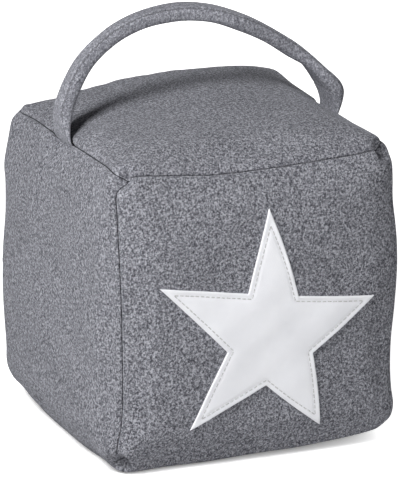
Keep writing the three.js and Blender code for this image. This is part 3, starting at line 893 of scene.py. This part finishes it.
def make_strap_stitches():
    """Running stitches in the groove along both edges of the strap."""
    parts = []
    for side in (1.0, -1.0):
        row = strap_rings[:, SECTION.index((side * GROOVE_POINT[0], GROOVE_POINT[1]))]
        out = np.array([0, side * SEWN_OUT, 0])
        position = SEWN_START
        while position < strap_distance[-1] - SEWN_START:
            ends = []
            for at in (position, position + SEWN_LENGTH):
                point = [np.interp(at, strap_distance, row[:, k]) for k in range(3)]
                ends.append(np.array(point) + out)
            i = int(np.searchsorted(strap_distance, position))
            parts.append(capsule(*ends, SEWN_RADIUS, strap_normals[i]))
            position += SEWN_PITCH
    points, faces = join_parts(parts)
    add_piece("strap_stitches", points, faces, strap_thread)


make_strap_stitches()

# Star of white leatherette, hand cut: share of its radius, and degrees clockwise from up
STAR_POINTS = [
    (1.013, 1.9), (0.385, 46.4), (0.971, 79.4), (0.48, 119.5), (1.008, 149.7),
    (0.464, 178.1), (0.989, 220.0), (0.355, 247.2), (1.018, 296.9), (0.369, 335.2),
]
STAR_RADIUS = 66.0
STAR_CENTRE = (0.0, 74.8)
STAR_THICKNESS = 1.15
# Its gap to the felt, and how it is shaped: its cut edge is rounded from a share of the thickness
# over this width, the stitches draw it down, and away from its edge it stands a little fuller
STAR_GAP = 0.06
EDGE_SHARE = 0.62
EDGE_ROUNDING = 0.7
STITCH_DIP = 0.34
DIP_WIDTH = 0.9
STAR_FULL = 0.25
FULL_REACH = 7.0
# Its mesh: steps along the outline and across the face, insets of the lines beside the outline, and
# how near the outline other points may come
OUTLINE_STEP = 0.9
FACE_STEP = 0.95
EDGE_INSETS = (0.12, 0.35, EDGE_ROUNDING)
INSET_CLEAR = 0.09
FACE_CLEAR = 1.1
# The stitches: distance from the edge, which grows towards a tip as far as the limit lets it, pitch,
# gap between two, radius, and how deep they lie
STITCH_INSET = 2.7
TIP_LIMIT = 0.3
STITCH_PITCH = 3.0
STITCH_GAP = 1.25
STITCH_RADIUS = 0.3
STITCH_SUNK = 0.2
# How far each edge of the star bulges from a straight cut, in order from the top point
EDGE_BULGE = [0.9, -0.2, 0.2, 0.5, 0.6, 0.0, 0.3, -0.2, 0.0, 0.3]


def star_outline():
    """The star's outline and corners, seen from the front."""
    corners = []
    for share, degrees in STAR_POINTS:
        angle = math.radians(degrees)
        x = STAR_CENTRE[0] + share * STAR_RADIUS * math.sin(angle)
        z = STAR_CENTRE[1] + share * STAR_RADIUS * math.cos(angle)
        corners.append(np.array([x, z]))
    outline = []
    for i, start in enumerate(corners):
        end = corners[(i + 1) % len(corners)]
        along = end - start
        outward = np.array([-along[1], along[0]]) / np.linalg.norm(along)
        steps = int(np.linalg.norm(along) / OUTLINE_STEP)
        for k in range(steps):
            u = k / steps
            outline.append(start + along * u + outward * EDGE_BULGE[i] * math.sin(math.pi * u))
    return np.array(outline), corners


def edge_distance(points, outline):
    """Distance of each point from a closed outline."""
    start, end = outline, np.roll(outline, -1, axis=0)
    along = end - start
    length = np.sum(along**2, axis=1)
    nearest = np.full(len(points), 1e9)
    for a, b, c in zip(start, along, length):
        u = np.clip((points - a) @ b / c, 0, 1)
        gap = np.linalg.norm(points - a - u[:, None] * b, axis=1)
        nearest = np.minimum(nearest, gap)
    return nearest


def inside(points, outline):
    """Which of the points lie inside a closed outline."""
    result = np.zeros(len(points), bool)
    x, z = points[:, 0], points[:, 1]
    for a, b in zip(outline, np.roll(outline, -1, axis=0)):
        crosses = (a[1] > z) != (b[1] > z)
        rise = b[1] - a[1]
        slope = (b[0] - a[0]) / (rise if abs(rise) > 1e-9 else 1e-9)
        result ^= crosses & (x < a[0] + (z - a[1]) * slope)
    return result


front_points, front_shape = outer_faces["front"]
front_skin = BVHTree.FromPolygons(front_points.reshape(-1, 3).tolist(), grid_faces(*front_shape, 0))
BEFORE_FRONT = -400


def on_front(x, z):
    """The front panel's surface at a place seen from the front, and its normal."""
    hit = front_skin.ray_cast(Vector((x, BEFORE_FRONT, z)), Vector((0, 1, 0)))
    normal = np.array(hit[1])
    if normal[1] > 0:
        normal = -normal
    return np.array(hit[0]), normal


def star_height(distance):
    """Height of the star's face above the felt: rounded cut edge, drawn down at the stitches."""
    edge = np.clip(distance / EDGE_ROUNDING, 0, 1)
    rounded = STAR_THICKNESS * (EDGE_SHARE + (1 - EDGE_SHARE) * np.sqrt(1 - (1 - edge) ** 2))
    drawn = STITCH_DIP * np.exp(-(((distance - STITCH_INSET) / DIP_WIDTH) ** 2))
    full = STAR_FULL * (1 - np.exp(-((distance / FULL_REACH) ** 2)))
    return rounded - drawn + full


def star_points(outline):
    """Points across the star: its outline, a staggered grid, and lines beside the outline."""
    low, high = outline.min(axis=0), outline.max(axis=0)
    columns = np.arange(low[0], high[0], FACE_STEP)
    rows = np.arange(low[1], high[1], FACE_STEP)
    xs, zs = np.meshgrid(columns, rows)
    shifted = xs + FACE_STEP / 2 * (np.arange(len(rows)) % 2)[:, None]
    grid = np.stack([shifted.ravel(), zs.ravel()], 1)
    groups = [outline, grid[inside(grid, outline) & (edge_distance(grid, outline) > FACE_CLEAR)]]
    along = np.roll(outline, -1, axis=0) - np.roll(outline, 1, axis=0)
    inward = np.stack([along[:, 1], -along[:, 0]], 1)
    inward = inward / np.linalg.norm(inward, axis=1, keepdims=True)
    for inset in EDGE_INSETS:
        ring = outline + inward * inset
        groups.append(ring[inside(ring, outline) & (edge_distance(ring, outline) > INSET_CLEAR)])
    return np.concatenate(groups)


def make_star():
    """The star, laid on the felt and cut out with a rounded edge."""
    outline, corners = star_outline()
    edges = [(i, (i + 1) % len(outline)) for i in range(len(outline))]
    cloud = [Vector(p) for p in star_points(outline)]
    flat, _, triangles, *_ = delaunay_2d_cdt(cloud, edges, [], 1, 1e-5)
    flat = np.array([v[:] for v in flat])
    face, under = [], []
    for (x, z), rise in zip(flat, star_height(edge_distance(flat, outline))):
        hit, normal = on_front(x, z)
        face.append(hit + normal * (rise + STAR_GAP))
        under.append(hit + normal * STAR_GAP)
    count = len(flat)
    faces, used = [], {}
    for a, b, c in triangles:
        faces.append((a, b, c))
        faces.append((count + c, count + b, count + a))
        used.update(dict.fromkeys([(a, b), (b, c), (c, a)]))
    # An edge that only one triangle uses is on the outline, where a wall goes down to the felt
    for a, b in used:
        if (b, a) not in used:
            faces.append((b, a, count + a, count + b))
    # Turn the faces outward: the star's face looks toward -Y
    first = [np.array(face[i]) for i in triangles[0]]
    if np.cross(first[1] - first[0], first[2] - first[0])[1] > 0:
        faces = [tuple(reversed(f)) for f in faces]
    add_piece(
        "white_star", face + under, faces, leatherette, "star_applique",
        angle=55,
    )
    return corners


star_corners = make_star()


def make_star_stitches():
    """A running stitch inside the star's edge, all the way round."""
    parts, inset = [], []
    count = len(star_corners)
    for i, corner in enumerate(star_corners):
        before = star_corners[i - 1]
        after = star_corners[(i + 1) % count]
        a, b = unit(corner - before), unit(after - corner)
        right_a = np.array([a[1], -a[0]])
        right_b = np.array([b[1], -b[0]])
        bisector = unit(right_a + right_b)
        reach = STITCH_INSET / max(TIP_LIMIT, float(np.dot(bisector, right_a)))
        inset.append(corner + bisector * reach)
    for i, start in enumerate(inset):
        end = inset[(i + 1) % count]
        along = end - start
        length = np.linalg.norm(along)
        outward = np.array([-along[1], along[0]]) / length
        stitches = int(round(length / STITCH_PITCH))
        pitch = length / stitches
        for k in range(stitches):
            middle = (k + 0.5) / stitches
            bulge = EDGE_BULGE[i] * math.sin(math.pi * middle)
            centre = start + along * middle + outward * bulge
            ends = []
            for side in (-0.5, 0.5):
                x, z = centre + along / length * side * (pitch - STITCH_GAP)
                hit, normal = on_front(x, z)
                ends.append(hit + normal * (STAR_THICKNESS - STITCH_SUNK))
            parts.append(capsule(*ends, STITCH_RADIUS, normal))
    points, faces = join_parts(parts)
    add_piece("star_stitches", points, faces, star_thread)


make_star_stitches()

# Camera at the photograph's angle, in degrees, with its distance and aim in metres
AZIMUTH = -22.14
ELEVATION = 17.14
CAMERA_DISTANCE = 3.22785
CAMERA_AIM = (-0.00035, 0, 0.10003)
azimuth, elevation = math.radians(AZIMUTH), math.radians(ELEVATION)
back = Vector(
    (
        math.sin(azimuth) * math.cos(elevation),
        -math.cos(azimuth) * math.cos(elevation),
        math.sin(elevation),
    )
)
camera_data = bpy.data.cameras.new("camera")
camera = bpy.data.objects.new("camera", camera_data)
bpy.context.scene.collection.objects.link(camera)
camera_data.lens = 452.83
camera_data.sensor_width = 36
camera_data.clip_end = 50
camera.location = Vector(CAMERA_AIM) + back * CAMERA_DISTANCE
camera.rotation_mode = "QUATERNION"
camera.rotation_quaternion = (-back).to_track_quat("-Z", "Y")
camera_data.dof.use_dof = False
bpy.context.scene.camera = camera

# Pale floor, a disc of rings in metres just under the object
FLOOR_RINGS = [0.25, 0.6, 1.5, 4, 12]
FLOOR_SIDES = 64
FLOOR_HEIGHT = -0.0002
# Its shade beside what stands on it: how far that reaches in metres, how fast it fades, and how
# bright it is where it is darkest
SHADE_REACH = 0.007
SHADE_POWER = 0.9
SHADE_DARKEST = 0.2


def floor_material():
    """Pale, seen white by the camera, and darker close beside what stands on it."""
    material = bpy.data.materials.new("pale_floor")
    material.use_nodes = True
    tree = material.node_tree
    tree.nodes.clear()
    output = tree.nodes.new("ShaderNodeOutputMaterial")
    diffuse = tree.nodes.new("ShaderNodeBsdfDiffuse")
    diffuse.inputs["Color"].default_value = (0.8, 0.8, 0.8, 1)
    glow = tree.nodes.new("ShaderNodeEmission")
    path = tree.nodes.new("ShaderNodeLightPath")
    total = tree.nodes.new("ShaderNodeAddShader")
    open_sky = tree.nodes.new("ShaderNodeAmbientOcclusion")
    open_sky.samples = 12
    open_sky.inputs["Distance"].default_value = SHADE_REACH
    openness = maths(tree, "POWER", open_sky.outputs["AO"], SHADE_POWER)
    shaded = maths(tree, "MULTIPLY", openness, 1 - SHADE_DARKEST)
    lifted = maths(tree, "ADD", shaded, SHADE_DARKEST)
    strength = maths(tree, "MULTIPLY", path.outputs["Is Camera Ray"], lifted)
    tree.links.new(strength, glow.inputs["Strength"])
    tree.links.new(diffuse.outputs["BSDF"], total.inputs[0])
    tree.links.new(glow.outputs["Emission"], total.inputs[1])
    tree.links.new(total.outputs["Shader"], output.inputs["Surface"])
    return material


def make_floor():
    points = [(0, 0, FLOOR_HEIGHT)]
    for radius in FLOOR_RINGS:
        for k in range(FLOOR_SIDES):
            angle = 2 * math.pi * k / FLOOR_SIDES
            points.append((radius * math.cos(angle), radius * math.sin(angle), FLOOR_HEIGHT))
    rings = [list(range(i, i + FLOOR_SIDES)) for i in range(1, len(points), FLOOR_SIDES)]
    faces = [(0, a, b) for a, b in zip(rings[0], rings[0][1:] + rings[0][:1])]
    for inner, outer in zip(rings, rings[1:]):
        faces += band_faces(inner, outer)
    mesh = bpy.data.meshes.new("floor")
    mesh.from_pydata(points, [], faces)
    floor = bpy.data.objects.new("floor", mesh)
    bpy.context.scene.collection.objects.link(floor)
    mesh.materials.append(floor_material())


make_floor()


def make_world():
    """White where it is seen or mirrored, and a very weak light on the object."""
    world = bpy.data.worlds.new("studio")
    world.use_nodes = True
    tree = world.node_tree
    tree.nodes.clear()
    output = tree.nodes.new("ShaderNodeOutputWorld")
    light = tree.nodes.new("ShaderNodeBackground")
    light.inputs["Color"].default_value = (0.985, 0.99, 1, 1)
    light.inputs["Strength"].default_value = 0.02
    white = tree.nodes.new("ShaderNodeBackground")
    white.inputs["Color"].default_value = (1, 1, 1, 1)
    white.inputs["Strength"].default_value = 1.0
    path = tree.nodes.new("ShaderNodeLightPath")
    seen = maths(tree, "MAXIMUM", path.outputs["Is Camera Ray"], path.outputs["Is Glossy Ray"])
    seen = maths(tree, "MAXIMUM", seen, path.outputs["Is Transmission Ray"])
    mix = tree.nodes.new("ShaderNodeMixShader")
    tree.links.new(seen, mix.inputs["Fac"])
    tree.links.new(light.outputs["Background"], mix.inputs[1])
    tree.links.new(white.outputs["Background"], mix.inputs[2])
    tree.links.new(mix.outputs["Shader"], output.inputs["Surface"])
    bpy.context.scene.world = world


make_world()

# Softboxes round the point that they all face
LIGHT_AIM = (0, 0, 0.1)


def area_light(name, direction, distance, size, power):
    """A white softbox in a direction from the object: distance and size in metres, watts."""
    data = bpy.data.lights.new(name, "AREA")
    data.shape = "RECTANGLE"
    data.size, data.size_y = size
    data.energy = power
    light = bpy.data.objects.new(name, data)
    bpy.context.scene.collection.objects.link(light)
    heading = Vector(direction).normalized()
    light.location = Vector(LIGHT_AIM) + heading * distance
    light.rotation_mode = "QUATERNION"
    light.rotation_quaternion = heading.to_track_quat("Z", "Y")


area_light("key", (-0.6, -0.41, 0.68), 0.95, (0.26, 0.34), 9.2)
area_light("front_fill", (0.45, -1.0, 0.3), 1.0, (0.4, 0.4), 2.3)
area_light("back_fill", (0.45, 1.0, 0.06), 1.1, (0.5, 0.4), 3.0)
area_light("left_fill", (-1.0, -0.26, -0.03), 0.95, (0.7, 0.13), 1.3)

bpy.context.scene.view_settings.view_transform = "Standard"
